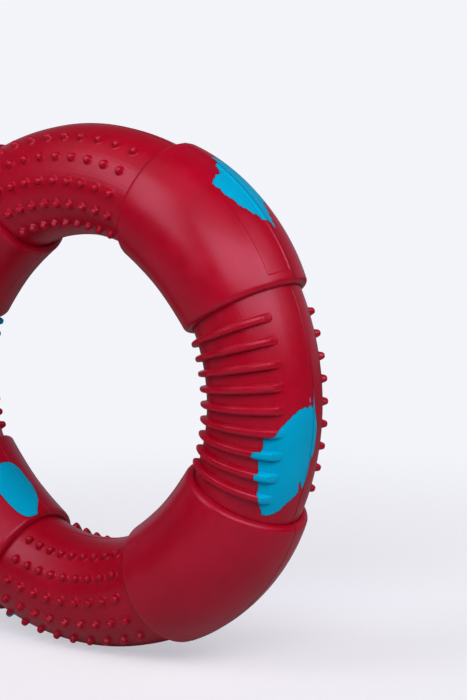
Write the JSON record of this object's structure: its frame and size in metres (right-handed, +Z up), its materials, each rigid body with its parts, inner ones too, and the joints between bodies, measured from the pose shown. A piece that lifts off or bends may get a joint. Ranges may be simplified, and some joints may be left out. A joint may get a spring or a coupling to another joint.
{
  "type": "rubber chew toy",
  "caption": "Upright rubber chew ring for a dog: textured chew sections with ribs and nubs, joined by smooth barrel cuffs, with flush patches of a second rubber colour.",
  "frame": {"origin": "centre of the ring, on its axis and half way through its thickness", "axes": "+Y along the ring's axis, pointing away from the viewed face; +Z up with the ring standing on its bottom section; +X towards the right section"},
  "size_m": [0.1644, 0.0408, 0.1644],
  "materials": {
    "red_rubber": "satin moulded red rubber, slightly dusty",
    "smooth_red_rubber": "satin moulded red rubber, smooth",
    "blue_rubber": "satin moulded blue rubber, flush with the red"
  },
  "bodies": {
    "root": {"top_section": "red_rubber", "right_section": "red_rubber", "bottom_section": "red_rubber", "left_section": "red_rubber", "upper_right_cuff": "smooth_red_rubber", "lower_right_cuff": "smooth_red_rubber", "lower_left_cuff": "smooth_red_rubber", "upper_left_cuff": "smooth_red_rubber", "right_section_patch": "blue_rubber", "bottom_section_patch": "blue_rubber", "left_section_patch": "blue_rubber", "upper_right_cuff_patch": "blue_rubber", "lower_right_cuff_patch": "blue_rubber", "lower_left_cuff_patch": "blue_rubber"}
  },
  "joints": []
}
